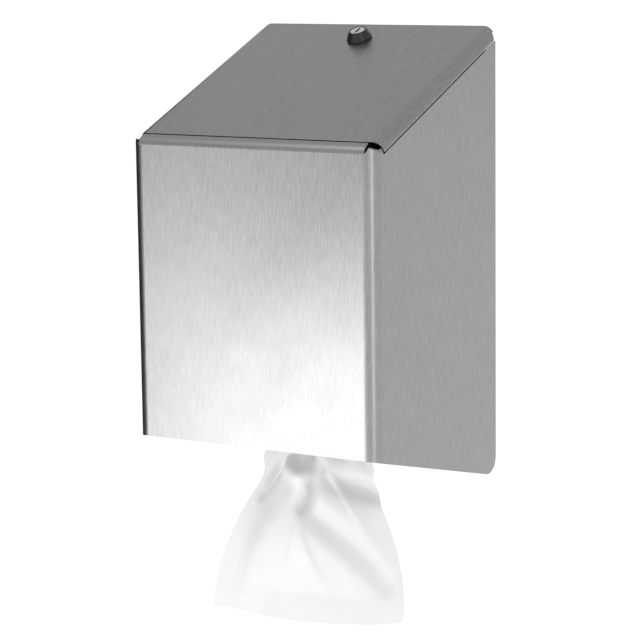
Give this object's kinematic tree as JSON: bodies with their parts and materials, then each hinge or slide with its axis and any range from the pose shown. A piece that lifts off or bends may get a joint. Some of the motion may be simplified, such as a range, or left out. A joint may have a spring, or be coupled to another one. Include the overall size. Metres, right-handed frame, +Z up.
{
  "type": "centre-pull towel dispenser",
  "caption": "Wall-mounted sheet-steel centre-pull towel dispenser with a sloping lockable lid, a paper roll inside and a towel tail below.",
  "frame": {"origin": "centre of the four wall screws, on the back face of the back plate", "axes": "+Z up, front panel faces -Y, +X to the viewer's right, wall at Y = 0"},
  "size_m": [0.235, 0.205, 0.5093],
  "materials": {
    "steel_brushed": "brushed, upright grain",
    "steel_mill": "mill finish",
    "steel_bright": "bright plated",
    "lock_black": "black moulded",
    "nozzle_plastic": "moulded, slightly worn",
    "rubber_black": "moulded rubber",
    "paper_white": "soft creped paper"
  },
  "bodies": {
    "cabinet": {"body_shell": "steel_brushed", "back_plate": "steel_mill", "shelf": "steel_mill", "strike_bracket": "steel_mill", "lid_bumper_left": "rubber_black", "lid_bumper_right": "rubber_black", "hinge_fixed_leaf": "steel_mill", "hinge_pin": "steel_bright", "feed_nozzle": "nozzle_plastic", "nozzle_ring": "nozzle_plastic"},
    "lid": {"lid": "steel_brushed", "hinge_lid_leaf": "steel_mill", "lock_bezel": "lock_black", "lock_barrel": "steel_bright", "lock_washer": "steel_bright", "lock_nut": "steel_bright"},
    "lock": {"lock_plug": "steel_bright", "lock_cam": "steel_bright", "cam_washer": "steel_bright", "cam_screw": "steel_bright"},
    "roll": {"paper_roll": "paper_white"},
    "towel": {"towel_tail": "paper_white"}
  },
  "joints": [
    {"name": "lid_hinge", "type": "hinge", "parent": "cabinet", "child": "lid", "pos_m": [0, -0.19334, 0.07346], "axis": [1, 0, 0], "range_deg": [0, 100]},
    {"name": "lock_turn", "type": "hinge", "parent": "lid", "child": "lock", "pos_m": [0, -0.02762, 0.1468], "axis": [0, -0.3907, 0.9205], "range_deg": [0, 90]},
    {"name": "roll_turn", "type": "hinge", "parent": "cabinet", "child": "roll", "pos_m": [0, -0.1025, 0], "axis": [0, 0, 1], "continuous": true},
    {"name": "towel_pull", "type": "slide", "parent": "cabinet", "child": "towel", "axis": [0, 0, -1], "range_m": [0, 0.1]}
  ]
}
